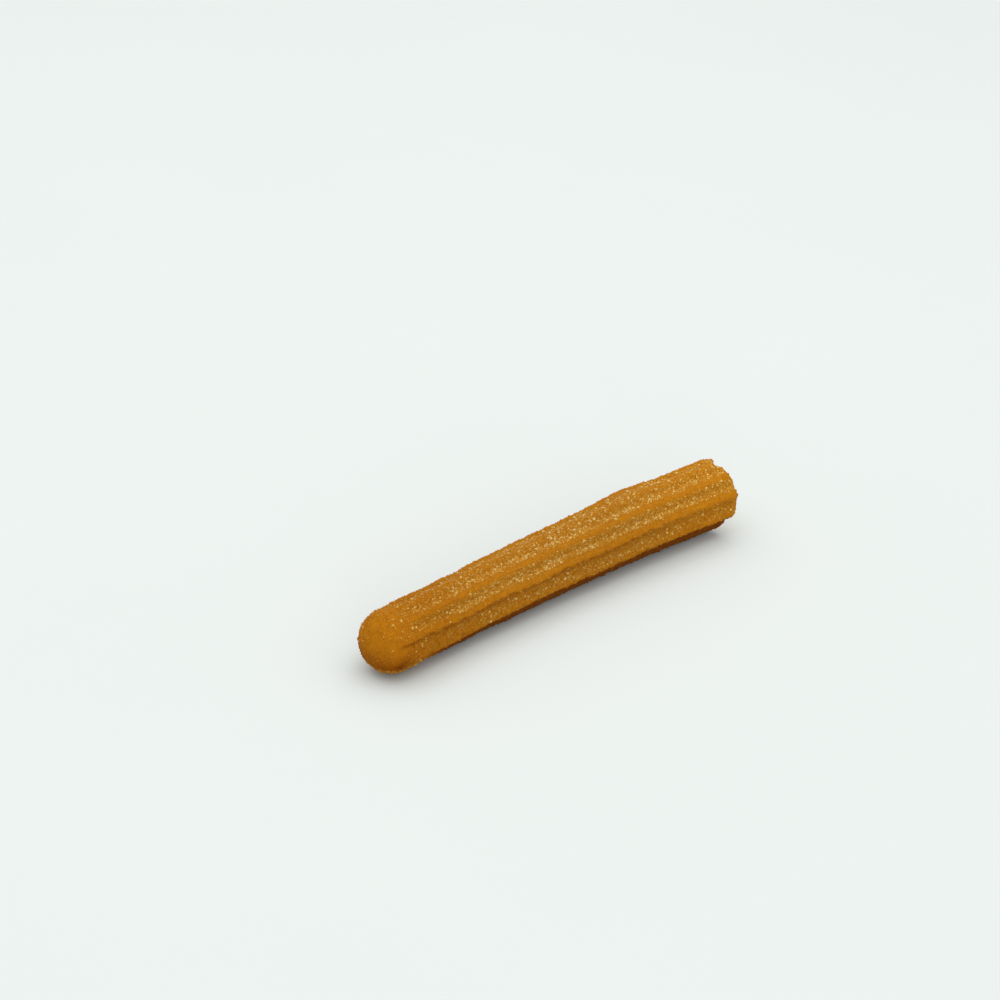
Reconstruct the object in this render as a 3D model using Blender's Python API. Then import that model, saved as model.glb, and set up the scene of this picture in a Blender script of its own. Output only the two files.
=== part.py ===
"""A churro: one stick of fried dough with star ridges, a closed round nose and a cut end.

Metres, +Z up. The stick lies along X with its nose at -X. It rests on the flattened crest of
its lowest ridge, and its box stands centred on the origin. Angles round the stick start at the
-Y side and turn up towards +Z.
"""
import math

import bmesh
import bpy
from mathutils import Vector, noise

MM = 0.001
NAME = "churro"

# Length and girth, over the crests of the ridges
LENGTH = 179.5 * MM
NOSE_END_RADIUS = 11.3 * MM
CUT_END_RADIUS = 13.4 * MM

# The stick bends sideways a little, its middle towards +Y
BOW = 3.4 * MM

# The star of the piping nozzle. Its valleys are shallowest towards the top of the far side, and
# each ridge drops off more steeply on the side of the smaller angles.
RIDGES = 10
TOP_CREST = math.radians(88.5)
TWIST = math.radians(-3.0)
VALLEY_DEPTH = 0.118
VALLEY_CHANGE = 0.032
SHALLOWEST = math.radians(130.0)
RIDGE_LEAN = 0.3
CREST_SHARPNESS = 1.2
WANDER = math.radians(2.4)
WANDER_LENGTH = 26.0 * MM

# The closed nose, round and smooth: it bends up a little, and the ridges rise out of it behind
# the tip
NOSE_LENGTH = 10.4 * MM
NOSE_FULLNESS = 2.4
NOSE_LIFT = 1.1 * MM
LIFT_REACH = 50.0 * MM
RIDGE_START = 6.0 * MM
RIDGE_FULL = 24.0 * MM

# The cut end: a soft rim round an uneven face that slopes back underneath and stands proud on
# top, and crumb that fills the valleys up at the rim
RIM_ROUND = 0.7 * MM
RIM_TURNS = (math.radians(45.0), math.radians(80.0))
CUT_BACK = 7.0 * MM
CUT_BACK_POWER = 4
CUT_RAGGED = 1.6 * MM
CUT_PATTERN = Vector((6.9, 0.0, 0.0))
CUT_REACH = 9.0 * MM
CUT_FILLING = 0.4
FILLING_REACH = 5.0 * MM
FLARE = 1.0 * MM
FLARE_AT = math.radians(100.0)
FLARE_POWER = 12
FACE_RINGS = (0.86, 0.62, 0.34)

# Unevenness from frying: one swelling on the upper far side, then gentle waves and small lumps
SWELLING = 1.3 * MM
SWELLING_AT = 137.0 * MM
SWELLING_SIDE = math.radians(125.0)
SWELLING_REACH = 13.0 * MM
WAVE = 0.3 * MM
WAVE_LENGTH = 34.0 * MM
LUMP = 0.3 * MM
LUMP_LENGTH = 9.0 * MM

# How far the lowest crest is pressed flat by the stick's own weight
SETTLE = 0.6 * MM

# How finely the surface is divided
SEGMENTS_PER_RIDGE = 10
NOSE_RINGS = 8
BODY_RINGS = 40
SHARP_ANGLE = math.radians(50.0)

CRUST_COLOUR = (0.49, 0.20, 0.016, 1.0)
CRUST_ROUGHNESS = 0.55


def clear_scene():
    """Takes every object out of the open file."""
    for thing in list(bpy.data.objects):
        bpy.data.objects.remove(thing, do_unlink=True)


def crest_radius(distance):
    """Radius over the crests, at a distance behind the nose's tip."""
    return NOSE_END_RADIUS + (CUT_END_RADIUS - NOSE_END_RADIUS) * distance / LENGTH


def smooth_step(low, high, value):
    """Rises from 0 at low to 1 at high without a corner."""
    t = min(max((value - low) / (high - low), 0.0), 1.0)
    return t * t * (3.0 - 2.0 * t)


def around(distance, angle, scale):
    """A point on a round stick, with lengths counted in scale, where the noise is read."""
    girth = 0.5 * (NOSE_END_RADIUS + CUT_END_RADIUS)
    return Vector((distance, girth * math.cos(angle), girth * math.sin(angle))) / scale


def valley_depth(distance, angle):
    """Depth of the valleys as a share of the crest radius, at a distance behind the tip."""
    depth = VALLEY_DEPTH - VALLEY_CHANGE * math.cos(angle - SHALLOWEST)
    filling = CUT_FILLING * smooth_step(LENGTH - FILLING_REACH, LENGTH, distance)
    return depth * smooth_step(RIDGE_START, RIDGE_FULL, distance) * (1.0 - filling)


def star_factor(distance, angle):
    """The section's radius as a share of its crest radius."""
    wander = WANDER * noise.noise(around(distance, angle, WANDER_LENGTH))
    phase = RIDGES * (angle - TOP_CREST - wander - TWIST * (distance / LENGTH - 0.5))
    leaning = phase + RIDGE_LEAN * (math.cos(phase) - 1.0)
    crest = (0.5 + 0.5 * math.cos(leaning)) ** CREST_SHARPNESS
    return 1.0 - valley_depth(distance, angle) * (1.0 - crest)


def unevenness(distance, angle):
    """How far the crust stands proud of, or behind, the even stick."""
    side = max(math.cos(angle - SWELLING_SIDE), 0.0) ** 2
    swelling = SWELLING * side * math.exp(-((distance - SWELLING_AT) / SWELLING_REACH) ** 2)
    near_cut = smooth_step(LENGTH - FILLING_REACH, LENGTH, distance)
    flare = FLARE * near_cut * max(math.cos(angle - FLARE_AT), 0.0) ** FLARE_POWER
    waves = WAVE * noise.noise(around(distance, angle, WAVE_LENGTH))
    return swelling + flare + waves + LUMP * noise.noise(around(distance, angle, LUMP_LENGTH))


def ring_rows():
    """Each ring from the nose to the cut face: its distance behind the tip, and its width from
    0 on the axis to 1 at full girth."""
    rows = []
    for step in range(1, NOSE_RINGS + 1):
        turn = 0.5 * math.pi * step / NOSE_RINGS
        power = 2.0 / NOSE_FULLNESS
        rows.append((NOSE_LENGTH * (1.0 - math.cos(turn) ** power), math.sin(turn) ** power))
    rim = LENGTH - RIM_ROUND
    for step in range(1, BODY_RINGS + 1):
        rows.append((NOSE_LENGTH + (rim - NOSE_LENGTH) * step / BODY_RINGS, 1.0))
    for turn in RIM_TURNS:
        width = 1.0 - RIM_ROUND * (1.0 - math.cos(turn)) / CUT_END_RADIUS
        rows.append((rim + RIM_ROUND * math.sin(turn), width))
    for width in FACE_RINGS:
        rows.append((LENGTH, width))
    return rows


def cut_offset(distance, angle, width):
    """How far the cut's slope and raggedness move a point along X; it fades away ahead of the cut."""
    near_cut = smooth_step(LENGTH - CUT_REACH, LENGTH, distance)
    downward = 0.5 * (1.0 - width * math.sin(angle))
    ragged = CUT_RAGGED * noise.noise(around(LENGTH, angle, LUMP_LENGTH) * width + CUT_PATTERN)
    return near_cut * (ragged - CUT_BACK * downward ** CUT_BACK_POWER)


def surface_point(distance, angle, width):
    """A point of the crust: along the bowed axis, then out across the star."""
    even = crest_radius(distance) * star_factor(distance, angle)
    radius = width * (even + unevenness(distance, angle))
    along = distance + cut_offset(distance, angle, width)
    place = along / LENGTH - 0.5
    slope = -8.0 * BOW * place / LENGTH
    sideways = Vector((slope, -1.0, 0.0)).normalized()
    lift = NOSE_LIFT * (1.0 - smooth_step(0.0, LIFT_REACH, along))
    height = crest_radius(along) - SETTLE + lift
    axis = Vector((place * LENGTH, BOW * (1.0 - 4.0 * place * place), height))
    point = axis + radius * (math.cos(angle) * sideways + math.sin(angle) * Vector((0.0, 0.0, 1.0)))
    point.z = max(point.z, 0.0)
    return point


def shape_stick(bm, rows):
    """Moves a ball's rings, from pole to pole, to the rings of the stick."""
    bands = len(rows) + 1
    for vert in bm.verts:
        ring = round(bands * vert.co.angle(Vector((0.0, 0.0, 1.0))) / math.pi)
        if ring == 0:
            vert.co = surface_point(0.0, 0.0, 0.0)
        elif ring == bands:
            vert.co = surface_point(LENGTH, 0.0, 0.0)
        else:
            distance, width = rows[ring - 1]
            vert.co = surface_point(distance, math.atan2(vert.co.y, vert.co.x), width)


def stand_on_origin(bm):
    """Centres the box of the stick over the origin."""
    xs = [vert.co.x for vert in bm.verts]
    ys = [vert.co.y for vert in bm.verts]
    shift = Vector((-0.5 * (min(xs) + max(xs)), -0.5 * (min(ys) + max(ys)), 0.0))
    bmesh.ops.translate(bm, verts=bm.verts, vec=shift)


def crust_material():
    """Golden fried dough."""
    material = bpy.data.materials.new("fried_dough")
    material.use_nodes = True
    shader = material.node_tree.nodes["Principled BSDF"]
    shader.inputs["Base Color"].default_value = CRUST_COLOUR
    shader.inputs["Roughness"].default_value = CRUST_ROUGHNESS
    shader.inputs["Metallic"].default_value = 0.0
    material.diffuse_color = CRUST_COLOUR
    return material


def build_churro(collection):
    """The whole stick, as one closed solid."""
    rows = ring_rows()
    bm = bmesh.new()
    bmesh.ops.create_uvsphere(bm, u_segments=RIDGES * SEGMENTS_PER_RIDGE,
                              v_segments=len(rows) + 1, radius=1.0)
    shape_stick(bm, rows)
    stand_on_origin(bm)
    bmesh.ops.recalc_face_normals(bm, faces=bm.faces)
    mesh = bpy.data.meshes.new(NAME)
    bm.to_mesh(mesh)
    bm.free()
    mesh.shade_smooth()
    mesh.set_sharp_from_angle(angle=SHARP_ANGLE)
    mesh.materials.append(crust_material())
    churro = bpy.data.objects.new(NAME, mesh)
    collection.objects.link(churro)
    return churro


def main():
    clear_scene()
    collection = bpy.data.collections.new(NAME)
    bpy.context.scene.collection.children.link(collection)
    build_churro(collection)


main()
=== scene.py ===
"""The look of a churro: its fried crust, the open crumb at the cut, and its coat of sugar.

Metres, +Z up. The stick lies along X with its nose at -X and stands on z = 0. Distances run from
the nose's tip to the cut. Angles round the stick start at the -Y side and turn up towards +Z.
"""
import logging
import math
from dataclasses import dataclass, field
from enum import Enum

import bpy
import numpy as np
from mathutils import Matrix, Vector, noise


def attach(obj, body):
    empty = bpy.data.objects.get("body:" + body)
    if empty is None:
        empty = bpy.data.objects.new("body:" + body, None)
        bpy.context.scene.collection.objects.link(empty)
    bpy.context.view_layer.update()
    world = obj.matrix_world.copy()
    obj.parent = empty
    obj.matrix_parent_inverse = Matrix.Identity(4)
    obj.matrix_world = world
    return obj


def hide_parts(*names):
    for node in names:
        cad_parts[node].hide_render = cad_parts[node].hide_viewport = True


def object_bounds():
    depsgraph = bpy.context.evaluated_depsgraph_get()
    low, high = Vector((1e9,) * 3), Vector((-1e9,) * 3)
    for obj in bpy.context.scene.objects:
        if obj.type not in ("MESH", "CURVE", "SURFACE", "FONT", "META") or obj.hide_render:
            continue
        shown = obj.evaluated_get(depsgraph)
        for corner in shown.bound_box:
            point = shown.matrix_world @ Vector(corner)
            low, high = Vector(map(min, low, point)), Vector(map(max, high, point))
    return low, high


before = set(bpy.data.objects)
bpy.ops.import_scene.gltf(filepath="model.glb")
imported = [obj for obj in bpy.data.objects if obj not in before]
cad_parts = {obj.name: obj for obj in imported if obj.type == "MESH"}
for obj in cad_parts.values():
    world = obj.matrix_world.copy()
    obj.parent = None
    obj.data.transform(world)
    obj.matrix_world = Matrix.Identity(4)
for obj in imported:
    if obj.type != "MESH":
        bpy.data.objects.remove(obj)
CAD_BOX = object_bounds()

LOG = logging.getLogger("churro")
Array = np.ndarray
Point = tuple[float, float, float]
Colour = tuple[float, float, float, float]
Stops = tuple[tuple[float, Colour], ...]
Piece = bpy.types.Object
Material = bpy.types.Material
Socket = bpy.types.NodeSocket

# Where a smooth rise starts, at 0, and where it ends, at 1; the end is the smaller one for a fall
Rise = tuple[float, float]

MM = 0.001
DEG = math.pi / 180.0
TURN = 2.0 * math.pi
QUARTER = 0.5 * math.pi
TINY = 1e-12
BODY = "root"
NODE = "churro"


def smooth_step(low: float, high: float, value: Array) -> Array:
    """Rises from 0 at low to 1 at high without a corner.

    Args:
        low: The value at which the rise starts.
        high: The value at which it ends; it may be the smaller one, for a fall.
        value: Where it is read.

    Returns:
        The share at each value, from 0 to 1.
    """
    t = np.clip((np.asarray(value, float) - low) / (high - low), 0.0, 1.0)
    return t * t * (3.0 - 2.0 * t)


def hump(value: Array, middle: float, spread: Array | float) -> Array:
    """Gives the height, at each value, of a smooth hump of height 1."""
    return np.exp(-((value - middle) / spread) ** 2)


class Pattern(Enum):
    """The patterns of unevenness, by their places in the noise, so that no two are alike."""

    FORM = 0.0
    PORES = 2.0
    GRIT = 3.0
    SMALL_PORES = 5.0
    CUT = 6.9
    FINE_GRIT = 7.0
    BLISTERS = 11.0
    TORN_SKIN = 23.0
    SUGAR_EDGE = 31.0
    CREASE = 41.0
    SUGAR_PATCHES = 57.0
    BROWN_PATCHES = 71.0
    BROWN_EDGE = 83.0
    SPECKS = 91.0


def pattern_places(points: Array, scale: float, pattern: Pattern) -> list:
    """Gives the places, counted in scale, where points read a pattern."""
    return (points.reshape(-1, 3) / scale + np.array((pattern.value, 0.0, 0.0))).tolist()


def noise_at(points: Array, scale: float, pattern: Pattern = Pattern.FORM) -> Array:
    """Reads smooth noise.

    Args:
        points: An array of points, with x, y and z last.
        scale: The length of one lump.
        pattern: The pattern.

    Returns:
        The noise at each point, from about -1 to 1.
    """
    read = [noise.noise(place) for place in pattern_places(points, scale, pattern)]
    return np.array(read).reshape(points.shape[:-1])


def pores_at(points: Array, spacing: float, size: float, pattern: Pattern) -> Array:
    """Reads open bubbles.

    Args:
        points: An array of points, with x, y and z last.
        spacing: The usual distance between two bubbles.
        size: Their radius, counted in spacing.
        pattern: The pattern.

    Returns:
        How deep each point lies in its nearest bubble: 0 outside, 1 at the middle.
    """
    near = [noise.voronoi(place)[0][0] for place in pattern_places(points, spacing, pattern)]
    near = np.array(near).reshape(points.shape[:-1])
    return np.clip(1.0 - (near / size) ** 2, 0.0, 1.0)


def grid_normals(grid: Array) -> Array:
    """Gives the outward direction at each point of a closed band of rings.

    Args:
        grid: The points, by ring and then round the ring.

    Returns:
        Directions of length 1, in the same order.
    """
    along = np.gradient(grid, axis=0)
    round_it = np.roll(grid, -1, 1) - np.roll(grid, 1, 1)
    normal = np.cross(along, round_it)
    return normal / np.maximum(np.linalg.norm(normal, axis=-1, keepdims=True), TINY)


def mesh_object(name: str, points: Array, faces: list, smooth: bool) -> Piece:
    """Makes a mesh object and links it into the scene.

    Args:
        name: The piece's name.
        points: Its corners, n by 3.
        faces: Its faces, as lists of corner numbers.
        smooth: True for a rounded look, False for crisp facets.

    Returns:
        The new object.
    """
    mesh = bpy.data.meshes.new(name)
    mesh.from_pydata(points.tolist(), [], faces)
    mesh.validate()
    if smooth:
        mesh.shade_smooth()
    else:
        mesh.shade_flat()
    thing = bpy.data.objects.new(name, mesh)
    bpy.context.scene.collection.objects.link(thing)
    return thing


class Kept(Enum):
    """The numbers that a mesh keeps at its corners for its material."""

    SUGAR = "sugar"
    FRY_AND_SHADE = "fry_and_shade"
    CRUMB = "crumb"


def keep_numbers(piece: Piece, kept: Kept, values: Array, last: tuple[float, ...] = ()) -> None:
    """Keeps a number at each corner of a piece's mesh, with those of its last corners apart."""
    made = piece.data.attributes.new(kept.value, "FLOAT", "POINT")
    made.data.foreach_set("value", np.concatenate([values.ravel(), last]).astype(np.float32))


@dataclass(frozen=True)
class Places:
    """Places on the stick: their distances behind the tip, their angles round the stick, and their
    widths, from 0 on the axis to 1 at full girth."""

    distance: Array
    angle: Array
    width: Array


@dataclass(frozen=True)
class StickForm:
    """The sizes of the stick's solid, and the surface that they give."""

    # Length, girth over the crests, and how far the middle bends sideways
    length: float = 179.5 * MM
    nose_end_radius: float = 11.3 * MM
    cut_end_radius: float = 13.4 * MM
    bow: float = 3.4 * MM

    # The star of ridges, whose valleys are shallowest towards the top of the far side
    ridges: int = 10
    top_crest: float = 88.5 * DEG
    twist: float = -3.0 * DEG
    valley_depth: float = 0.118
    valley_change: float = 0.032
    shallowest: float = 130.0 * DEG
    ridge_lean: float = 0.3
    crest_sharpness: float = 1.2
    wander: float = 2.4 * DEG
    wander_length: float = 26.0 * MM
    ridges_grow: Rise = (5.0 * MM, 20.0 * MM)

    # The lowest ridge in view lies lower behind the nose
    low_turn: float = 8.0 * DEG
    low_side: float = -24.0 * DEG
    low_spread: float = 16.0 * DEG
    low_reach: Rise = (80.0 * MM, 15.0 * MM)

    # The closed nose, which lifts a little
    nose_length: float = 10.4 * MM
    nose_fullness: float = 2.4
    nose_lift: float = 1.1 * MM
    lift_fades: Rise = (0.0, 50.0 * MM)

    # The cut, which slopes back underneath, and the crumb that fills the valleys up at its rim
    rim_round: float = 0.7 * MM
    cut_back: float = 7.0 * MM
    cut_back_power: int = 4
    cut_ragged: float = 1.6 * MM
    cut_reach: float = 9.0 * MM
    cut_filling: float = 0.4
    filling_reach: float = 5.0 * MM
    flare: float = 0.2 * MM
    flare_at: float = 100.0 * DEG
    flare_power: int = 12

    # The bite in the rim and the flap beside it, in millimetres by degrees round the stick, and
    # the widths over which they grow
    notch_sides: tuple[float, ...] = (74, 77, 80, 86, 92, 98, 104, 112, 122, 132)
    notches: tuple[float, ...] = (0, 1.4, 3.0, 2.6, 2.0, 0.6, -1.6, -1.8, -1.0, 0)
    notch_grows: Rise = (0.5, 0.85)

    # Unevenness from frying, and how far the lowest crest is pressed flat
    swelling: float = 1.3 * MM
    swelling_at: float = 137.0 * MM
    swelling_side: float = 125.0 * DEG
    swelling_reach: float = 13.0 * MM
    wave: float = 0.3 * MM
    wave_length: float = 34.0 * MM
    lump: float = 0.3 * MM
    lump_length: float = 9.0 * MM
    settle: float = 0.6 * MM

    def crest_radius(self, distance: Array) -> Array:
        """Gives the radius over the crests, at each distance behind the tip."""
        return self.nose_end_radius + (self.cut_end_radius - self.nose_end_radius) * distance / self.length

    def around(self, distance: Array, angle: Array, width: Array | float = 1.0) -> Array:
        """Gives points in a round stick of the mean girth, where the noises are read."""
        girth = 0.5 * width * (self.nose_end_radius + self.cut_end_radius)
        return np.stack([distance, girth * np.cos(angle), girth * np.sin(angle)], -1)

    def near_cut(self, reach: float, distance: Array) -> Array:
        """Rises from 0 to 1 over that reach ahead of the cut."""
        return smooth_step(self.length - reach, self.length, distance)

    def ridge_phase(self, at: Places) -> Array:
        """Tells where a point lies across its ridge.

        Args:
            at: The places.

        Returns:
            The phase, 0 on a crest and plus or minus half a turn in the valleys; it is positive
            on the side of the larger angles.
        """
        wander = self.wander * noise_at(self.around(at.distance, at.angle), self.wander_length)
        middle = self.twist * (at.distance / self.length - 0.5)
        lowered = self.low_turn * hump(at.angle, self.low_side, self.low_spread)
        lowered *= smooth_step(*self.low_reach, at.distance)
        phase = self.ridges * (at.angle - self.top_crest - wander - middle + lowered)
        return (phase + math.pi) % TURN - math.pi

    def star(self, at: Places) -> Array:
        """Gives the shape of the section.

        Args:
            at: The places.

        Returns:
            The section's radius at each place, as a share of its crest radius.
        """
        phase = self.ridge_phase(at)
        leaning = phase + self.ridge_lean * (np.cos(phase) - 1.0)
        crest = (0.5 + 0.5 * np.cos(leaning)) ** self.crest_sharpness
        depth = self.valley_depth - self.valley_change * np.cos(at.angle - self.shallowest)
        filling = self.cut_filling * self.near_cut(self.filling_reach, at.distance)
        return 1.0 - depth * smooth_step(*self.ridges_grow, at.distance) * (1.0 - filling) * (1.0 - crest)

    def unevenness(self, at: Places) -> Array:
        """Gives the swelling, the flare at the rim, the waves and the lumps.

        Args:
            at: The places.

        Returns:
            How far the crust stands proud of, or behind, the even stick.
        """
        side = np.maximum(np.cos(at.angle - self.swelling_side), 0.0) ** 2
        swelling = self.swelling * side * hump(at.distance, self.swelling_at, self.swelling_reach)
        side = np.maximum(np.cos(at.angle - self.flare_at), 0.0) ** self.flare_power
        flare = self.flare * self.near_cut(self.filling_reach, at.distance) * side
        where = self.around(at.distance, at.angle)
        return (swelling + flare + self.wave * noise_at(where, self.wave_length)
                + self.lump * noise_at(where, self.lump_length))

    def cut_offset(self, at: Places) -> Array:
        """Gives the cut's slope, its raggedness, and the bite in its rim.

        Args:
            at: The places.

        Returns:
            How far they move each point along X.
        """
        downward = 0.5 * (1.0 - at.width * np.sin(at.angle))
        where = self.around(np.full_like(at.distance, self.length), at.angle, at.width)
        ragged = self.cut_ragged * noise_at(where, self.lump_length, Pattern.CUT)
        notch = MM * np.interp(np.degrees(at.angle), self.notch_sides, self.notches)
        notch *= smooth_step(*self.notch_grows, at.width)
        moved = ragged - self.cut_back * downward ** self.cut_back_power - notch
        return self.near_cut(self.cut_reach, at.distance) * moved

    def surface(self, at: Places, out: Array, ahead: Array) -> Array:
        """Gives points of the crust.

        Args:
            at: The places.
            out: Added to the radius, for fine relief.
            ahead: Added along the stick, for fine relief.

        Returns:
            The points, with x, y and z last.
        """
        even = self.crest_radius(at.distance) * self.star(at)
        radius = at.width * (even + self.unevenness(at)) + out
        along = at.distance + self.cut_offset(at)
        place = along / self.length - 0.5
        slope = -8.0 * self.bow * place / self.length
        level = radius * np.cos(at.angle) / np.hypot(slope, 1.0)
        lift = self.nose_lift * (1.0 - smooth_step(*self.lift_fades, along))
        height = self.crest_radius(along) - self.settle + lift
        x = place * self.length + level * slope + ahead
        y = self.bow * (1.0 - 4.0 * place * place) - level
        return np.stack([x, y, np.maximum(height + radius * np.sin(at.angle), 0.0)], -1)


@dataclass(frozen=True)
class Crease:
    """The sharp crease under each ridge: deepest low on the near side and towards the nose."""

    # Where it runs, as a phase of the ridge by degrees round the stick, and its two sides
    depth: float = 0.55 * MM
    sides: tuple[float, float] = (-20.0, 16.0)
    phases: tuple[float, float] = (-0.88, -0.48)
    wall: float = 0.34
    slope: float = 1.2
    waver: float = 0.75
    waver_length: float = 2.4 * MM

    # How it grows and fades along the stick and round it
    starts: Rise = (2.0 * MM, 9.0 * MM)
    nose_gain: float = 1.0
    nose_reach: Rise = (45.0 * MM, 15.0 * MM)
    cut_loss: float = 0.7
    cut_reach: float = 24.0 * MM
    elsewhere: float = 0.1
    near_side: Rise = (50.0 * DEG, 24.0 * DEG)

    # It is nearly lost low down behind the nose
    chin_loss: float = 0.8
    chin_reach: Rise = (44.0 * MM, 20.0 * MM)
    chin_side: Rise = (0.0, -18.0 * DEG)

    def past(self, form: StickForm, at: Places) -> Array:
        """Tells how far past the crease below its ridge each point lies.

        Args:
            form: The stick.
            at: The places.

        Returns:
            How far across the ridge it is, as a phase; the crease wavers.
        """
        waver = self.waver * noise_at(form.around(at.distance, at.angle), self.waver_length, Pattern.CREASE)
        middle = np.interp(np.degrees(at.angle), self.sides, self.phases)
        return form.ridge_phase(at) - middle + waver

    def off_chin(self, at: Places) -> Array:
        """Gives 1 where the crease is whole, and less low down behind the nose."""
        under = smooth_step(*self.chin_reach, at.distance) * smooth_step(*self.chin_side, at.angle)
        return 1.0 - self.chin_loss * under

    def cut_in(self, form: StickForm, at: Places) -> Array:
        """Gives the crease's depth.

        Args:
            form: The stick.
            at: The places.

        Returns:
            How far the crust is cut in at each place.
        """
        grown = smooth_step(*self.starts, at.distance)
        grown *= 1.0 - self.cut_loss * form.near_cut(self.cut_reach, at.distance)
        grown *= 1.0 + self.nose_gain * smooth_step(*self.nose_reach, at.distance)
        grown *= self.off_chin(at)
        side = self.elsewhere + (1.0 - self.elsewhere) * smooth_step(*self.near_side, np.abs(at.angle))
        past = self.past(form, at)
        return self.depth * side * grown * hump(past, 0.0, np.where(past > 0.0, self.wall, self.slope))


@dataclass(frozen=True)
class SugarPattern:
    """Where the sugar clings: in the valleys and on the flanks, less on the crests and the nose."""

    # By degrees round the stick: how much lies there, and the bare band of each ridge, as phases
    sides: tuple[float, ...] = (-90, -40, -16, 0, 22, 40, 56, 70, 90, 104, 124, 158, 200, 270)
    on_sides: tuple[float, ...] = (.5, .58, .60, .52, .85, 1.12, .82, .52, .46, .27, .38, .7, .65, .5)
    bare_shift: tuple[float, ...] = (0, .4, .5, .8, 1.05, .85, .7, .5, .4, .2, -.5, -1, -.8, 0)
    bare_half_width: tuple[float, ...] = (1, .5, .5, 1.1, 1.3, 1.15, 1.2, 1, 1, 1, 1.1, 1.3, 1.2, 1)
    band_edge: float = 0.7
    band_waver: float = 0.45
    waver_length: float = 8.0 * MM

    # On the crests, where the top one, at so many degrees, keeps more
    on_crest: float = 0.02
    on_top_crest: float = 0.42
    top: float = 90.0
    top_spread: Rise = (30.0, 6.0)
    patch_length: float = 7.0 * MM
    patch_depth: float = 0.24

    # Along the stick: little on the nose and behind it, more on top of the middle
    on_nose: float = 0.16
    nose_ends: Rise = (5.0 * MM, 17.0 * MM)
    near_nose: float = 0.55
    near_reach: Rise = (50.0 * MM, 15.0 * MM)
    heap: float = 0.5
    heap_at: float = 96.0 * MM
    heap_reach: float = 24.0 * MM

    # In the creases, at a phase of the ridge and by degrees round the stick, and on the cut face
    in_crease: float = 0.5
    crease_at: float = -1.1
    crease_spread: float = 0.5
    crease_side: Rise = (54.0, 22.0)
    on_cut: float = 0.06
    cut_width: float = 0.93

    # The fringe that the nose picks up, by height and by distance
    fringe: float = 0.9
    fringe_height: Rise = (6.5 * MM, 2.6 * MM)
    fringe_reach: Rise = (22.0 * MM, 13.2 * MM)

    def share(self, form: StickForm, at: Places, height: Array) -> Array:
        """Tells how thickly the sugar lies.

        Args:
            form: The stick.
            at: The places.
            height: Heights above the floor.

        Returns:
            The share at each place, from 0 for bare crust to 1 for a full coat.
        """
        where = form.around(at.distance, at.angle, at.width)
        side = np.degrees(at.angle)
        topward = smooth_step(*self.top_spread, np.abs(side - self.top))
        phase = form.ridge_phase(at)
        waver = self.band_waver * noise_at(where, self.waver_length, Pattern.SUGAR_EDGE)
        shift = np.interp(side, self.sides, self.bare_shift)
        across = np.abs((phase - shift + waver + math.pi) % TURN - math.pi)
        half = np.interp(side, self.sides, self.bare_half_width)
        band = smooth_step(half - 0.5 * self.band_edge, half + 0.5 * self.band_edge, across)
        least = self.on_crest + (self.on_top_crest - self.on_crest) * topward
        coat = least + (1.0 - least) * band
        coat = self.on_nose + (coat - self.on_nose) * smooth_step(*self.nose_ends, at.distance)
        patches = noise_at(where, self.patch_length, Pattern.SUGAR_PATCHES)
        patches = 1.0 + (2.0 - topward) * self.patch_depth * patches
        coat *= patches * np.interp(side, self.sides, self.on_sides)
        coat *= 1.0 - (1.0 - self.near_nose) * smooth_step(*self.near_reach, at.distance)
        coat *= 1.0 + self.heap * hump(at.distance, self.heap_at, self.heap_reach) * topward
        crease = hump(phase, self.crease_at, self.crease_spread)
        crease *= smooth_step(*self.crease_side, np.abs(side))
        coat *= 1.0 - (1.0 - self.in_crease) * crease
        coat = np.maximum(coat, self.under_nose(at.distance, height))
        inner = (at.width < self.cut_width) & (at.distance > 0.5 * form.length)
        return np.clip(np.where(inner, self.on_cut, coat), 0.0, 1.0)

    def under_nose(self, distance: Array, height: Array) -> Array:
        """Gives the share of the sugar that the nose picked up as it was rolled, low down."""
        low = smooth_step(*self.fringe_height, height)
        return self.fringe * low * smooth_step(*self.fringe_reach, distance)


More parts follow.
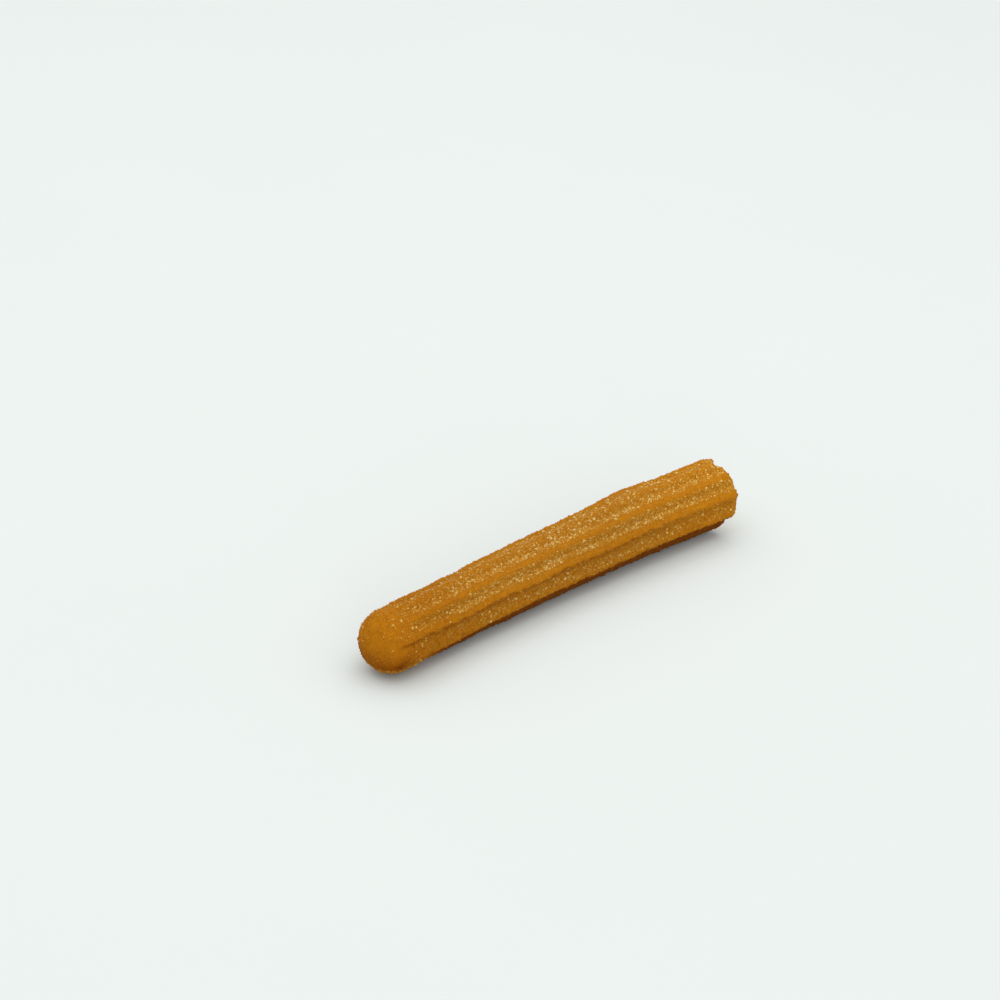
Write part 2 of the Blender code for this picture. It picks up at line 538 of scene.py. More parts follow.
@dataclass(frozen=True)
class BrowningAndShade:
    """Browner crust under the nose and in specks, and painted shade along the creases and underneath."""

    # Under the nose, in patches, by height and by distance
    nose: float = 0.88
    nose_low: Rise = (16.0 * MM, 2.0 * MM)
    nose_ends: Rise = (6.0 * MM, 17.0 * MM)
    patch_length: float = 6.0 * MM
    least_patch: float = 0.2
    patch_change: float = 1.4

    # Painted shade along the creases, mostly low on the near side; its two widths are phases of the ridge
    edge: float = 0.43
    edge_shift: float = 0.07
    edge_above: float = 0.65
    edge_below: float = 0.80
    edge_starts: Rise = (3.0 * MM, 11.0 * MM)
    edge_elsewhere: float = 0.12
    edge_side: Rise = (47.0 * DEG, 22.0 * DEG)
    cut_loss: float = 0.6
    cut_reach: Rise = (115.0 * MM, 155.0 * MM)

    # Painted shade underneath, from so many degrees lower behind the nose
    underside: float = 0.92
    under_side: Rise = (-16.0 * DEG, -31.0 * DEG)
    under_starts: Rise = (15.0 * MM, 34.0 * MM)
    under_ragged: float = 6.0 * DEG
    ragged_length: float = 2.2 * MM
    lower_at: tuple[float, float] = (20.0 * MM, 72.0 * MM)
    lower_by: tuple[float, float] = (-13.0, 0.0)

    # Specks, mostly low down
    specks: float = 0.85
    speck_length: float = 1.1 * MM
    speck_side: Rise = (32.0 * DEG, -8.0 * DEG)
    speck_starts: Rise = (2.0 * MM, 8.0 * MM)

    def share(self, form: StickForm, crease: Crease, at: Places, height: Array) -> Array:
        """Tells how much browner the crust is, with its painted shade.

        Args:
            form: The stick.
            crease: The crease under its ridges.
            at: The places.
            height: Heights above the floor.

        Returns:
            The share at each place, from 0 to 1.
        """
        where = form.around(at.distance, at.angle, at.width)
        patches = 0.5 + 0.5 * noise_at(where, self.patch_length, Pattern.BROWN_PATCHES)
        low = smooth_step(*self.nose_low, height)
        fry_and_shade = self.nose * low * (1.0 - smooth_step(*self.nose_ends, at.distance))
        fry_and_shade *= self.least_patch + self.patch_change * patches
        past = crease.past(form, at) + self.edge_shift
        edge = hump(past, 0.0, np.where(past > 0.0, self.edge_above, self.edge_below))
        edge *= smooth_step(*self.edge_starts, at.distance)
        near = smooth_step(*self.edge_side, np.abs(at.angle))
        edge *= self.edge_elsewhere + (1.0 - self.edge_elsewhere) * near
        edge *= 1.0 - self.cut_loss * smooth_step(*self.cut_reach, at.distance)
        # Painted shade along the creases
        fry_and_shade += self.edge * (edge * crease.off_chin(at))
        rise = QUARTER - np.abs(at.angle - QUARTER)
        ragged = self.under_ragged * noise_at(where, self.ragged_length, Pattern.BROWN_EDGE)
        lower = DEG * np.interp(at.distance, self.lower_at, self.lower_by)
        below = smooth_step(*self.under_side, rise + ragged - lower)
        # Painted shade underneath
        fry_and_shade += self.underside * (below * smooth_step(*self.under_starts, at.distance))
        speck = smooth_step(*self.speck_side, rise) * smooth_step(*self.speck_starts, at.distance)
        fry_and_shade += self.specks * speck * np.maximum(noise_at(where, self.speck_length, Pattern.SPECKS), 0.0)
        return np.clip(fry_and_shade, 0.0, 1.0)


class Sum(Enum):
    """The sums that a material's nodes do."""

    PLUS = "ADD"
    TIMES = "MULTIPLY"
    TIMES_PLUS = "MULTIPLY_ADD"


class Blend(Enum):
    """The ways in which two colours go together."""

    MIXED = "MIX"
    TIMES = "MULTIPLY"


# The numbers of the colour sockets on a mixing node
MIX_FIRST = 6
MIX_SECOND = 7
MIXED_COLOUR = 2

# Moves every pattern, so that its own grid doesn't show on the faces of the part
ASIDE: Point = (0.1371, 0.0293, 0.0517)

# The tones along the stick, by shares of the length that they cover, from the nose to the cut: deeper at
# the nose, and lighter towards the cut, partly as painted light that fell brighter there
TONE_LENGTH = 176.0 * MM
TONES_AND_LIGHT: Stops = (
    (0.0, (1.02, 0.98, 0.80, 1.0)),
    (0.12, (0.94, 0.89, 0.72, 1.0)),
    (0.33, (1.0, 1.0, 1.0, 1.0)),
    (0.70, (1.0, 1.0, 1.0, 1.0)),
    (0.84, (1.08, 1.07, 0.95, 1.0)),
    (1.0, (1.15, 1.15, 0.98, 1.0)),
)


@dataclass(frozen=True)
class Mottle:
    """Noise in a colour: the length of its lumps, its detail, and which part of it shows."""

    lump: float
    detail: float
    low: float
    high: float
    roughness: float = 0.5


@dataclass(frozen=True)
class NodeSheet:
    """A material's node tree, with short calls to fill it."""

    material: Material

    @property
    def tree(self) -> bpy.types.NodeTree:
        """The material's node tree."""
        return self.material.node_tree

    @property
    def shader(self) -> bpy.types.Node:
        """The material's surface shader."""
        return self.tree.nodes["Principled BSDF"]

    @staticmethod
    def named(name: str) -> "NodeSheet":
        """Starts a material that holds one surface shader.

        Args:
            name: The material's name.

        Returns:
            Its sheet.
        """
        material = bpy.data.materials.new(name)
        material.use_nodes = True
        return NodeSheet(material)

    def node(self, kind: str, settings: dict | None = None, *values: object,
             **inputs: object) -> bpy.types.Node:
        """Adds a node, and feeds it with values or output sockets.

        Args:
            kind: The node's type.
            settings: Its own properties by name.
            values: What its first inputs take, in order.
            inputs: What other inputs take, by name; _ stands for a space.

        Returns:
            The new node.
        """
        made = self.tree.nodes.new(kind)
        for name, value in (settings or {}).items():
            setattr(made, name, value)
        for socket, value in zip(made.inputs, values):
            self.feed(socket, value)
        for name, value in inputs.items():
            self.feed(made.inputs[name.replace("_", " ")], value)
        return made

    def feed(self, socket: Socket, value: object) -> None:
        """Sets an input, or links an output into it.

        Args:
            socket: The input.
            value: Its value, or an output socket.
        """
        if isinstance(value, Socket):
            self.tree.links.new(value, socket)
        else:
            socket.default_value = value

    def place(self, aside: Point = (0.0, 0.0, 0.0)) -> Socket:
        """Gives the surface point in metres, moved aside by that much."""
        point = self.node("ShaderNodeTexCoord").outputs["Object"]
        return self.node("ShaderNodeVectorMath", {"operation": "ADD"}, point, aside).outputs["Vector"]

    def noise(self, lump: float, detail: float, roughness: float = 0.5) -> Socket:
        """Gives noise of about 0 to 1 whose lumps are that many metres long."""
        return self.node("ShaderNodeTexNoise", Vector=self.place(ASIDE), Scale=1.0 / lump, Detail=detail,
                         Roughness=roughness).outputs["Fac"]

    def mottle(self, kind: Mottle) -> Socket:
        """Gives one kind of mottling, from 0 to 1."""
        return self.stretch(self.noise(kind.lump, kind.detail, kind.roughness), kind.low, kind.high)

    def grains(self, size: float) -> tuple[Socket, Socket]:
        """Gives packed grains: how far each point is from its grain's middle, and the grain's draw."""
        cells = self.node("ShaderNodeTexVoronoi", Vector=self.place(ASIDE), Scale=1.0 / size).outputs
        return cells["Distance"], self.node("ShaderNodeSeparateColor", Color=cells["Color"]).outputs["Red"]

    def stretch(self, value: Socket, low: float, high: float) -> Socket:
        """Stretches a value so that low becomes 0 and high becomes 1, held between them."""
        made = self.node("ShaderNodeMapRange", {"clamp": True}, Value=value, From_Min=low, From_Max=high)
        return made.outputs["Result"]

    def sum(self, kind: Sum, *values: object) -> Socket:
        """Gives the result of one sum on two or three numbers or output sockets."""
        return self.node("ShaderNodeMath", {"operation": kind.value}, *values).outputs["Value"]

    def mix(self, share: object, first: object, second: object, blend: Blend = Blend.MIXED) -> Socket:
        """Brings two colours together.

        Args:
            share: 0 gives the first colour, 1 the second, or the two blended.
            first: The first colour.
            second: The second colour.
            blend: How they go together.

        Returns:
            The output that gives the result.
        """
        made = self.node("ShaderNodeMix", {"data_type": "RGBA", "blend_type": blend.value}, Factor=share)
        self.feed(made.inputs[MIX_FIRST], first)
        self.feed(made.inputs[MIX_SECOND], second)
        return made.outputs[MIXED_COLOUR]

    def ramp(self, value: Socket, stops: Stops) -> Socket:
        """Turns a value into a colour.

        Args:
            value: The output that gives it.
            stops: The colours by value, from the lowest value to the highest.

        Returns:
            The output that gives the colour.
        """
        made = self.node("ShaderNodeValToRGB", Fac=value)
        band = made.color_ramp.elements
        band[0].position, band[0].color = stops[0]
        band[1].position, band[1].color = stops[-1]
        for place, colour in stops[1:-1]:
            band.new(place).color = colour
        return made.outputs["Color"]

    def toned_and_lit(self, colour: Socket) -> Socket:
        """Makes a colour deeper at the nose and lighter at the cut, partly as painted light.

        Args:
            colour: The output that gives it.

        Returns:
            The output that gives the result.
        """
        split = self.node("ShaderNodeSeparateXYZ", Vector=self.place())
        along = self.stretch(split.outputs["X"], -0.5 * TONE_LENGTH, 0.5 * TONE_LENGTH)
        return self.mix(1.0, colour, self.ramp(along, TONES_AND_LIGHT), Blend.TIMES)

    def kept(self, kept: Kept) -> Socket:
        """Reads a number that the mesh keeps at its corners."""
        return self.node("ShaderNodeAttribute", {"attribute_name": kept.value}).outputs["Fac"]

    def show(self, colour: Socket, roughness: float, gloss: float) -> None:
        """Sets what the surface shader shows.

        Args:
            colour: The output that gives its colour.
            roughness: 0 for a mirror, 1 for chalk.
            gloss: How strongly it reflects.
        """
        self.feed(self.shader.inputs["Base Color"], colour)
        self.shader.inputs["Roughness"].default_value = roughness
        self.shader.inputs["Specular IOR Level"].default_value = gloss


@dataclass(frozen=True)
class CrustFinish:
    """Fried dough: golden on the ridges, sandy where sugar lies, browner under the nose and in specks,
    with painted shade along the creases and underneath, painted glints on some grains, and a pale crumb
    at the cut."""

    golden: Colour = (0.380, 0.144, 0.0052, 1.0)
    deep: Colour = (0.335, 0.113, 0.0034, 1.0)
    sandy: Colour = (0.400, 0.166, 0.0110, 1.0)
    painted_glint: Colour = (0.460, 0.200, 0.0130, 1.0)
    # Browner crust and painted shade: a redder colour where there is little, as if warm light lit the
    # creases, and a darker one where there is much
    reddish_brown_and_shade: Colour = (0.205, 0.036, 0.0012, 1.0)
    brown_and_shade: Colour = (0.150, 0.035, 0.0010, 1.0)
    crumb: Colour = (0.62, 0.43, 0.17, 1.0)
    crumb_hollow: Colour = (0.48, 0.28, 0.08, 1.0)
    roughness: float = 0.62
    gloss: float = 0.01

    # From golden to deep in broad and fine patches, with sandy spots; then the crumb's patches
    broad: Mottle = Mottle(16.0 * MM, 2.0, 0.30, 0.72)
    broad_share: float = 0.55
    fine: Mottle = Mottle(2.2 * MM, 3.0, 0.32, 0.70)
    spots: Mottle = Mottle(1.2 * MM, 2.0, 0.45, 0.75, 0.6)
    spot_share: float = 0.55
    crumb_patches: Mottle = Mottle(1.6 * MM, 3.0, 0.3, 0.7)

    # The finest sugar: specks of it, and packed grains, some of which get a painted glint, a lighter
    # colour, near their middles
    specks: Mottle = Mottle(0.55 * MM, 2.0, 0.35, 0.62, 0.6)
    speck_share: float = 0.75
    grain: float = 0.5 * MM
    glint_draw: Rise = (0.45, 1.0)
    glint_near: Rise = (0.55, 0.15)
    glint_share: float = 0.55

    # The grit that is too fine for the mesh, weaker where the crust is bare
    grain_height: Rise = (0.75, 0.0)
    grit_length: float = 0.45 * MM
    grit_detail: float = 3.0
    grit_roughness: float = 0.65
    bare_grit: float = 0.45
    bump_strength: float = 0.6
    bump_height: float = 0.18 * MM

    def material(self) -> Material:
        """Makes the material.

        Returns:
            The material.
        """
        sheet = NodeSheet.named("fried_dough")
        near, draw = sheet.grains(self.grain)
        sugar, fry_and_shade = sheet.kept(Kept.SUGAR), sheet.kept(Kept.FRY_AND_SHADE)
        fine = sheet.sum(Sum.TIMES, sheet.mottle(self.fine), 1.0 - self.broad_share)
        patches = sheet.sum(Sum.TIMES_PLUS, sheet.mottle(self.broad), self.broad_share, fine)
        spots = sheet.sum(Sum.TIMES, sheet.mottle(self.spots), self.spot_share)
        colour = sheet.mix(spots, sheet.mix(patches, self.golden, self.deep), self.sandy)
        specks = sheet.mottle(self.specks)
        specks = sheet.sum(Sum.TIMES_PLUS, specks, self.speck_share, 1.0 - self.speck_share)
        colour = sheet.mix(sheet.sum(Sum.TIMES, sugar, specks), colour, self.sandy)
        # Painted glints: a lighter colour near the middles of some grains
        middle = sheet.stretch(near, *self.glint_near)
        glint = sheet.sum(Sum.TIMES, sheet.stretch(draw, *self.glint_draw), middle)
        colour = sheet.mix(sheet.sum(Sum.TIMES, glint, self.glint_share), colour, self.painted_glint)
        # Browner crust and painted shade, by the number kept at the corners
        colour = sheet.mix(fry_and_shade, sheet.toned_and_lit(colour), sheet.mix(fry_and_shade, self.reddish_brown_and_shade, self.brown_and_shade))
        inside = sheet.mix(sheet.mottle(self.crumb_patches), self.crumb, self.crumb_hollow)
        sheet.show(sheet.mix(sheet.kept(Kept.CRUMB), colour, inside), self.roughness, self.gloss)
        grit = sheet.noise(self.grit_length, self.grit_detail, self.grit_roughness)
        packed = sheet.sum(Sum.PLUS, sheet.stretch(near, *self.grain_height), grit)
        height = sheet.sum(Sum.TIMES, packed, sheet.sum(Sum.PLUS, sugar, self.bare_grit))
        bump = sheet.node("ShaderNodeBump", Strength=self.bump_strength, Distance=self.bump_height,
                          Height=height)
        sheet.feed(sheet.shader.inputs["Normal"], bump.outputs["Normal"])
        return sheet.material


@dataclass(frozen=True)
class SugarFinish:
    """Sugar grains, from those with the crust's gold showing through them to the palest; on browner crust
    and in its painted shade they take darker colours.
    """

    tints: Stops
    # Painted shade for grains: a redder colour where there is little, as if warm light lit the creases, and
    # a darker one where there is much; both also stand for browner crust
    light_shade: Colour = (0.205, 0.040, 0.0014, 1.0)
    shade: Colour = (0.150, 0.039, 0.0012, 1.0)
    roughness: float = 0.35
    gloss: float = 0.04

    def material(self, name: str) -> Material:
        """Makes the material, in which each grain takes its own tint.

        Args:
            name: The material's name.

        Returns:
            The material.
        """
        sheet = NodeSheet.named(name)
        each = sheet.node("ShaderNodeNewGeometry").outputs["Random Per Island"]
        # Grains on browner crust and in painted shade take these darker colours
        shaded = sheet.mix(sheet.kept(Kept.FRY_AND_SHADE), self.light_shade, self.shade)
        colour = sheet.mix(sheet.kept(Kept.FRY_AND_SHADE), sheet.toned_and_lit(sheet.ramp(each, self.tints)), shaded)
        sheet.show(colour, self.roughness, self.gloss)
        return sheet.material


@dataclass
class Crust:
    """The stick's whole skin, from the nose to the crumb of the cut, as one closed mesh."""

    form: StickForm
    crease: Crease
    sugar: SugarPattern
    browning_and_shade: BrowningAndShade
    finish: CrustFinish

    # How finely the skin is divided
    segments: int = 240
    nose_rings: int = 26
    body_rings: int = 330
    rim_rings: int = 5
    face_rings: int = 26

    # The crust's grain, which is finer where it is bare
    under: float = 0.10 * MM
    blister: float = 0.12 * MM
    blister_length: float = 4.0 * MM
    grit: float = 0.15 * MM
    grit_length: float = 1.5 * MM
    fine_grit: float = 0.09 * MM
    fine_grit_length: float = 0.8 * MM
    bare_grit: float = 0.5

    # The torn skin round the cut, and the pores of the crumb
    torn: float = 0.5 * MM
    torn_length: float = 2.6 * MM
    torn_reach: float = 1.5 * MM
    pore: float = 1.3 * MM
    pore_spacing: float = 3.1 * MM
    small_pore: float = 0.4 * MM
    small_pore_spacing: float = 1.3 * MM
    pore_size: float = 0.42

    # The widths from the skin to the crumb, on the points that are this near to the cut
    crumb_starts: Rise = (0.965, 0.888)
    at_cut: float = 0.01 * MM

    # What build() finds at each point of the rings, for the sugar
    points: Array = field(init=False, repr=False)
    coat: Array = field(init=False, repr=False)
    fry_and_shade: Array = field(init=False, repr=False)
    upward: Array = field(init=False, repr=False)
    rolled: Array = field(init=False, repr=False)
    open_crumb: Array = field(init=False, repr=False)

    def rings(self) -> tuple[Array, Array, Array]:
        """Lists the rings from the nose to the cut face.

        Returns:
            Each ring's distance behind the tip, its width from 0 to 1, and the tilt of the
            surface there: minus a quarter turn faces the nose's way, plus faces the cut's.
        """
        turn = QUARTER * np.arange(1, self.nose_rings + 1) / self.nose_rings
        power = 2.0 / self.form.nose_fullness
        nose_at = self.form.nose_length * (1.0 - np.maximum(np.cos(turn), 0.0) ** power)
        rim = self.form.length - self.form.rim_round
        body_at = np.linspace(self.form.nose_length, rim, self.body_rings + 1)[1:]
        bend = QUARTER * np.arange(1, self.rim_rings + 1) / self.rim_rings
        inset = self.form.rim_round / self.form.cut_end_radius
        rim_at = rim + self.form.rim_round * np.sin(bend)
        rim_width = 1.0 - inset * (1.0 - np.cos(bend))
        face_width = rim_width[-1] * (1.0 - np.arange(1, self.face_rings + 1) / (self.face_rings + 1.0))
        distance = np.concatenate([nose_at, body_at, rim_at, np.full(self.face_rings, self.form.length)])
        width = np.concatenate([np.sin(turn) ** power, np.ones(self.body_rings), rim_width, face_width])
        tilt = np.concatenate([turn - QUARTER, np.zeros(self.body_rings), bend,
                               np.full(self.face_rings, QUARTER)])
        return distance, width, tilt

    def relief(self, at: Places, coat: Array) -> Array:
        """Gives the fine relief of the crust and of the crumb.

        Args:
            at: The places.
            coat: How thickly the sugar lies.

        Returns:
            How far each point stands out along the surface's own direction.
        """
        form = self.form
        where = form.around(at.distance, at.angle, at.width)
        rough = self.bare_grit + (1.0 - self.bare_grit) * coat
        raised = self.blister * noise_at(where, self.blister_length, Pattern.BLISTERS) - self.under
        raised += rough * self.grit * noise_at(where, self.grit_length, Pattern.GRIT)
        raised += rough * self.fine_grit * noise_at(where, self.fine_grit_length, Pattern.FINE_GRIT)
        raised -= self.crease.cut_in(form, at)
        face = self.on_face(at)
        spot = form.around(np.zeros_like(at.distance), at.angle, at.width)
        hollow = self.pore * pores_at(spot, self.pore_spacing, self.pore_size, Pattern.PORES)
        small = pores_at(spot, self.small_pore_spacing, self.pore_size, Pattern.SMALL_PORES)
        hollow += self.small_pore * small
        torn = self.torn * noise_at(spot, self.torn_length, Pattern.TORN_SKIN)
        return raised * (1.0 - face) + form.near_cut(self.torn_reach, at.distance) * torn - hollow * face

    def on_face(self, at: Places) -> Array:
        """Tells how far inside the cut face each point lies, past the skin: 0 to 1."""
        at_cut = at.distance > self.form.length - self.at_cut
        return np.where(at_cut, smooth_step(*self.crumb_starts, at.width), 0.0)

    def build(self) -> Piece:
        """Builds the mesh and keeps its rings for the sugar.

        Returns:
            The piece.
        """
        ring_distance, ring_width, ring_tilt = self.rings()
        ring_angle = TURN * np.arange(self.segments) / self.segments - QUARTER
        distance, angle = np.meshgrid(ring_distance, ring_angle, indexing="ij")
        at = Places(distance, angle, np.repeat(ring_width[:, None], self.segments, 1))
        tilt = np.repeat(ring_tilt[:, None], self.segments, 1)
        flat = np.zeros_like(tilt)
        plain = self.form.surface(at, flat, flat)
        self.coat = self.sugar.share(self.form, at, plain[..., 2])
        raised = self.relief(at, self.coat)
        points = self.form.surface(at, raised * np.cos(tilt), raised * np.sin(tilt))
        aside = 0.5 * (CAD_BOX[0][1] + CAD_BOX[1][1] - plain[..., 1].min() - plain[..., 1].max())
        shift = np.array((CAD_BOX[0][0] + 0.5 * self.form.length, aside, 0.0))
        self.points = points + shift
        tip = np.array([(-0.5 * self.form.length, 0.0, points[0, :, 2].mean())]) + shift
        middle = self.points[-1].mean(0, keepdims=True)
        corners = np.concatenate([self.points.reshape(-1, 3), tip, middle])
        piece = mesh_object("fried_crust", corners, self.faces(), smooth=True)
        height = self.points[..., 2]
        self.upward = grid_normals(self.points)[..., 2]
        self.rolled = self.sugar.under_nose(distance, height)
        self.open_crumb = self.on_face(at)
        # How much browner the crust is, with its painted shade; none on the crumb
        fry_and_shade = self.browning_and_shade.share(self.form, self.crease, at, height)
        self.fry_and_shade = fry_and_shade * (1.0 - self.open_crumb)
        keep_numbers(piece, Kept.SUGAR, self.coat, (self.sugar.on_nose, self.sugar.on_cut))
        keep_numbers(piece, Kept.FRY_AND_SHADE, self.fry_and_shade, (self.fry_and_shade[0].mean(), 0.0))
        keep_numbers(piece, Kept.CRUMB, self.open_crumb, (0.0, 1.0))
        return piece

    def faces(self) -> list:
        """Lists the mesh's faces.

        Returns:
            The bands between the rings, and a fan round the tip and round the face's middle,
            whose corners come last.
        """
        rows = np.arange(self.coat.size).reshape(self.coat.shape)
        after = np.roll(rows, -1, 1)
        bands = np.stack([rows[:-1], rows[1:], after[1:], after[:-1]], -1).reshape(-1, 4).tolist()
        tip = [[rows.size, a, b] for a, b in zip(rows[0].tolist(), after[0].tolist())]
        middle = [[rows.size + 1, b, a] for a, b in zip(rows[-1].tolist(), after[-1].tolist())]
        return bands + tip + middle

    def dress(self, piece: Piece) -> None:
        """Gives the piece its material and its place on the part.

        Args:
            piece: The piece.
        """
        piece.data.materials.append(self.finish.material())
        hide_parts(NODE)
        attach(piece, BODY)


DEEP: Colour = (0.330, 0.112, 0.0038, 1.0)
TINTED: Colour = (0.370, 0.143, 0.0050, 1.0)
HONEY: Colour = (0.430, 0.185, 0.0120, 1.0)
PALE: Colour = (0.490, 0.280, 0.052, 1.0)
WHITE: Colour = (0.590, 0.440, 0.180, 1.0)


@dataclass(frozen=True)
class Grains:
    """One kind of sugar grain.

    More evenness spreads the grains beyond where the sugar clings, more upward keeps them to the
    upper side, and sunk is the share of a grain that lies below the crust.
    """

    piece: str
    count: int
    smallest: float
    largest: float
    evenness: float
    upward: float
    sunk: float
    seed: int
    tints: Stops


class SugarKind(Enum):
    """The kinds of sugar grain, from those half dissolved in the crust to the largest."""

    GLAZED = Grains("glazed_sugar", count=16500, smallest=0.34 * MM, largest=0.60 * MM, evenness=1.0,
                    upward=0.4, sunk=0.42, seed=13, tints=((0.0, DEEP), (0.45, TINTED), (1.0, HONEY)))
    FINE = Grains("fine_sugar", count=16500, smallest=0.30 * MM, largest=0.52 * MM, evenness=0.12,
                  upward=0.8, sunk=0.33, seed=3,
                  tints=((0.0, DEEP), (0.2, TINTED), (0.80, HONEY), (1.0, PALE)))
    TABLE = Grains("table_sugar", count=7600, smallest=0.38 * MM, largest=0.64 * MM, evenness=0.01,
                   upward=1.8, sunk=0.36, seed=5,
                   tints=((0.0, TINTED), (0.5, HONEY), (0.85, PALE), (1.0, WHITE)))
    COARSE = Grains("coarse_sugar", count=1200, smallest=0.42 * MM, largest=0.85 * MM, evenness=0.04,
                    upward=2.2, sunk=0.36, seed=8, tints=((0.0, HONEY), (0.30, PALE), (1.0, WHITE)))


CUBE = np.array([(x, y, z) for x in (-0.5, 0.5) for y in (-0.5, 0.5) for z in (-0.5, 0.5)])
CUBE_SIDES = np.array([(0, 1, 3, 2), (4, 6, 7, 5), (0, 4, 5, 1), (2, 3, 7, 6), (0, 2, 6, 4), (1, 5, 7, 3)])


@dataclass
class SugarCoat:
    """All grains of one kind, as one mesh of small uneven crystals."""

    grains: Grains
    crust: Crust
    finish: SugarFinish

    # Where they lie, and how light those stay that the nose picked up
    cling: float = 1.5
    least_upward: float = 0.02
    rolled_share: float = 0.5
    rolled_light: float = 0.9
    off_crumb: float = 0.97

    # How they differ, and how high the lowest corner has to be
    size_power: float = 1.6
    side_spread: tuple[float, float] = (0.62, 1.15)
    corner_jitter: float = 0.16
    height_spread: tuple[float, float] = (0.4, 1.3)
    off_floor: float = 0.01 * MM

    # How far each facet's shading turns towards the crust's
    bent: float = 1.1

    def places(self, rng: np.random.Generator) -> tuple[Array, Array, Array]:
        """Draws where the grains sit, thickest where the sugar clings.

        Args:
            rng: The seeded source of all draws.

        Returns:
            The points on the crust, the surface's direction at each, and its browner tone and painted shade
            there.
        """
        grid = self.crust.points
        after = np.roll(grid, -1, 1)
        a, b, c, d = grid[:-1], grid[1:], after[1:], after[:-1]
        normal = np.cross(c - a, d - b)
        size = np.linalg.norm(normal, axis=-1)
        share = self.over_cells(self.crust.coat)
        upward = np.clip(0.5 + 0.5 * self.over_cells(self.crust.upward), self.least_upward, 1.0)
        rolled = self.rolled_share * self.over_cells(self.crust.rolled)
        facing = np.maximum(upward ** self.grains.upward, rolled)
        chance = (size * (self.grains.evenness + share) ** self.cling * facing).ravel()
        chance *= 1.0 - self.off_crumb * self.over_cells(self.crust.open_crumb).ravel()
        picked = rng.choice(chance.size, self.grains.count, p=chance / chance.sum())
        u, v = rng.random((2, self.grains.count, 1))
        a, b, c, d = (corner.reshape(-1, 3)[picked] for corner in (a, b, c, d))
        points = (1 - u) * ((1 - v) * a + v * d) + u * ((1 - v) * b + v * c)
        normal = normal.reshape(-1, 3)[picked]
        normal /= np.linalg.norm(normal, axis=1, keepdims=True)
        fry_and_shade = self.crust.fry_and_shade * (1.0 - self.rolled_light * self.crust.rolled)
        return points, normal, self.over_cells(fry_and_shade).ravel()[picked]

    @staticmethod
    def over_cells(values: Array) -> Array:
        """Averages the crust's numbers over the four corners of each cell."""
        pair = values[:-1] + values[1:]
        return 0.25 * (pair + np.roll(pair, -1, 1))

    def turns(self, rng: np.random.Generator) -> Array:
        """Draws an even spread of turns.

        Args:
            rng: The seeded source of all draws.

        Returns:
            One 3 by 3 matrix for each grain.
        """
        spin = rng.normal(size=(self.grains.count, 4))
        w, x, y, z = (spin / np.linalg.norm(spin, axis=1, keepdims=True)).T
        return np.stack([
            np.stack([1 - 2 * (y * y + z * z), 2 * (x * y - z * w), 2 * (x * z + y * w)], -1),
            np.stack([2 * (x * y + z * w), 1 - 2 * (x * x + z * z), 2 * (y * z - x * w)], -1),
            np.stack([2 * (x * z - y * w), 2 * (y * z + x * w), 1 - 2 * (x * x + y * y)], -1)], 1)

    def crystals(self, rng: np.random.Generator) -> tuple[Array, Array, Array]:
        """Makes the corners of all crystals that stay above the floor.

        Args:
            rng: The seeded source of all draws.

        Returns:
            The corners, 8 to a crystal; the crust's direction, and its brownness and painted shade under
            each.
        """
        points, normal, fry_and_shade = self.places(rng)
        count, smallest = self.grains.count, self.grains.smallest
        size = smallest + (self.grains.largest - smallest) * rng.random((count, 1)) ** self.size_power
        sides = size * rng.uniform(*self.side_spread, (count, 3))
        jitter = rng.uniform(-self.corner_jitter, self.corner_jitter, (count, 8, 3))
        corners = np.einsum("nij,nkj->nki", self.turns(rng), (CUBE[None] + jitter) * sides[:, None])
        raised = size * (0.5 - self.grains.sunk) * rng.uniform(*self.height_spread, (count, 1))
        corners += (points + normal * raised)[:, None]
        kept = corners[..., 2].min(1) > self.off_floor
        return corners[kept], normal[kept], fry_and_shade[kept]

    def lit_normals(self, corners: Array, normal: Array) -> list:
        """Turns the facets' shading, so that they catch the light much as the crust under them does.

        Args:
            corners: The corners, 8 to a crystal.
            normal: The crust's direction under each crystal.

        Returns:
            A direction of length 1 for each corner of each facet.
        """
        own = np.cross(corners[:, CUBE_SIDES[:, 2]] - corners[:, CUBE_SIDES[:, 0]],
                       corners[:, CUBE_SIDES[:, 3]] - corners[:, CUBE_SIDES[:, 1]])
        own /= np.linalg.norm(own, axis=-1, keepdims=True)
        lit = own + self.bent * normal[:, None]
        lit /= np.linalg.norm(lit, axis=-1, keepdims=True)
        return np.repeat(lit.reshape(-1, 3), 4, 0).tolist()

    def build(self) -> Piece:
        """Builds the mesh.

        Returns:
            The piece.
        """
        corners, normal, fry_and_shade = self.crystals(np.random.default_rng(self.grains.seed))
        faces = (8 * np.arange(len(corners))[:, None, None] + CUBE_SIDES).reshape(-1, 4).tolist()
        piece = mesh_object(self.grains.piece, corners.reshape(-1, 3), faces, smooth=False)
        piece.data.normals_split_custom_set(self.lit_normals(corners, normal))
        keep_numbers(piece, Kept.FRY_AND_SHADE, np.repeat(fry_and_shade, 8))
        return piece

    def dress(self, piece: Piece) -> None:
        """Gives the piece its material and its place on the part.

        Args:
            piece: The piece.
        """
        piece.data.materials.append(self.finish.material(self.grains.piece))
        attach(piece, BODY)


@dataclass(frozen=True)
class FloorFinish:
    """A plain pale floor, very slightly uneven in tone."""

    colour: Colour = (0.60, 0.63, 0.615, 1.0)
    worn: float = 0.985
    worn_length: float = 90.0 * MM
    worn_detail: float = 2.0
    roughness: float = 0.7
    gloss: float = 0.1

    def material(self) -> Material:
        """Makes the material.

        Returns:
            The material.
        """
        sheet = NodeSheet.named("pale_floor")
        darker = tuple(self.worn * part for part in self.colour[:3]) + (1.0,)
        worn = sheet.mix(sheet.noise(self.worn_length, self.worn_detail), self.colour, darker)
        sheet.show(worn, self.roughness, self.gloss)
        return sheet.material


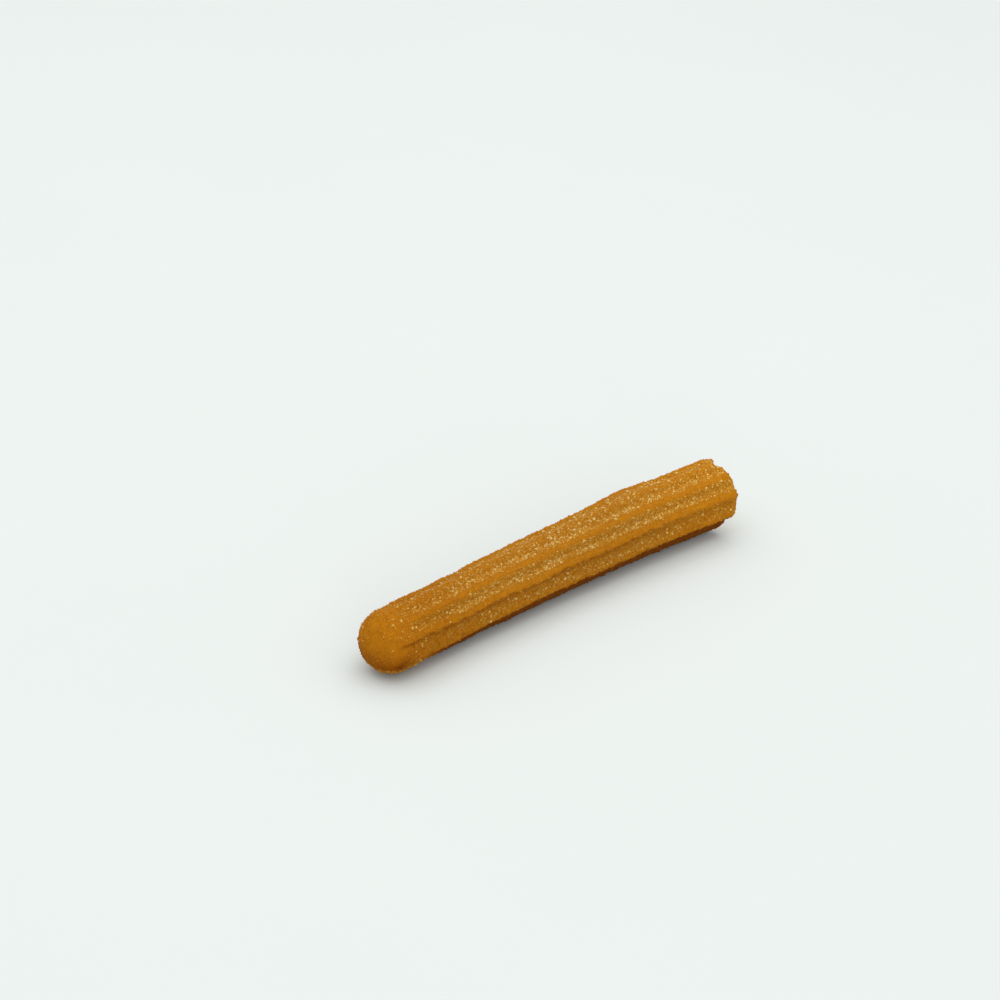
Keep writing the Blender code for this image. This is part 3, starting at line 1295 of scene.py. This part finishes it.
@dataclass(frozen=True)
class Lamp:
    """A square lamp that shines on the origin, with its power in watts."""

    name: str
    place: Point
    size: float
    power: float
    colour: Point = (1.0, 0.99, 0.97)

    def hang(self) -> None:
        """Hangs the lamp."""
        light = bpy.data.lights.new(self.name, "AREA")
        light.energy, light.size, light.color = self.power, self.size, self.colour
        lamp = bpy.data.objects.new(self.name, light)
        lamp.location = self.place
        lamp.rotation_euler = (-Vector(self.place)).to_track_quat("-Z", "Y").to_euler()
        bpy.context.scene.collection.objects.link(lamp)


@dataclass
class Studio:
    """The plain pale floor, the soft light, and the camera at the photograph's angle."""

    floor_size: float = 12.0
    floor_finish: FloorFinish = FloorFinish()
    sky_colour: Colour = (0.98, 0.99, 1.0, 1.0)
    sky_strength: float = 0.93
    lamps: tuple[Lamp, ...] = (Lamp("key", (0.15, 0.25, 1.7), 2.4, 23.5),
                               Lamp("fill", (-1.3, -1.6, 0.40), 1.0, 11.0))
    camera_at: Point = (-0.61785, -0.56860, 0.46930)
    heading: float = -46.04 * DEG
    down: float = 27.19 * DEG
    roll: float = 2.4 * DEG
    lens: float = 93.9

    def build_floor(self) -> None:
        """Lays the floor."""
        half = 0.5 * self.floor_size
        corners = np.array([(-half, -half, 0.0), (half, -half, 0.0), (half, half, 0.0), (-half, half, 0.0)])
        floor = mesh_object("floor", corners, [[0, 1, 2, 3]], smooth=False)
        floor.data.materials.append(self.floor_finish.material())

    def build_light(self) -> None:
        """Sets the sky's even light and hangs the soft lamps."""
        world = bpy.data.worlds.new("studio")
        world.use_nodes = True
        sky = world.node_tree.nodes["Background"]
        sky.inputs["Color"].default_value = self.sky_colour
        sky.inputs["Strength"].default_value = self.sky_strength
        bpy.context.scene.world = world
        for lamp in self.lamps:
            lamp.hang()

    def build_camera(self) -> None:
        """Sets the camera where the photograph was taken from."""
        camera = bpy.data.objects.new("camera", bpy.data.cameras.new("camera"))
        camera.data.lens = self.lens
        turned = (Matrix.Rotation(self.heading, 4, "Z") @ Matrix.Rotation(QUARTER - self.down, 4, "X")
                  @ Matrix.Rotation(self.roll, 4, "Z"))
        camera.matrix_world = Matrix.Translation(self.camera_at) @ turned
        bpy.context.scene.collection.objects.link(camera)
        bpy.context.scene.camera = camera
        bpy.context.scene.view_settings.view_transform = "Standard"


def report(piece: Piece) -> None:
    """Logs a piece's name, size and number of triangles.

    Args:
        piece: The piece.
    """
    triangles = sum(len(face.vertices) - 2 for face in piece.data.polygons)
    size = " x ".join(f"{side / MM:.1f}" for side in piece.dimensions)
    LOG.info("%s: %s mm, %d triangles", piece.name, size, triangles)


def main() -> None:
    """Builds the churro, its sugar and the studio."""
    logging.basicConfig(level=logging.INFO, format="%(message)s")
    crust = Crust(StickForm(), Crease(), SugarPattern(), BrowningAndShade(), CrustFinish())
    coats = [SugarCoat(kind.value, crust, SugarFinish(kind.value.tints)) for kind in SugarKind]
    for part in (crust, *coats):
        piece = part.build()
        part.dress(piece)
        report(piece)
    studio = Studio()
    studio.build_floor()
    studio.build_light()
    studio.build_camera()


if __name__ == "__main__":
    main()
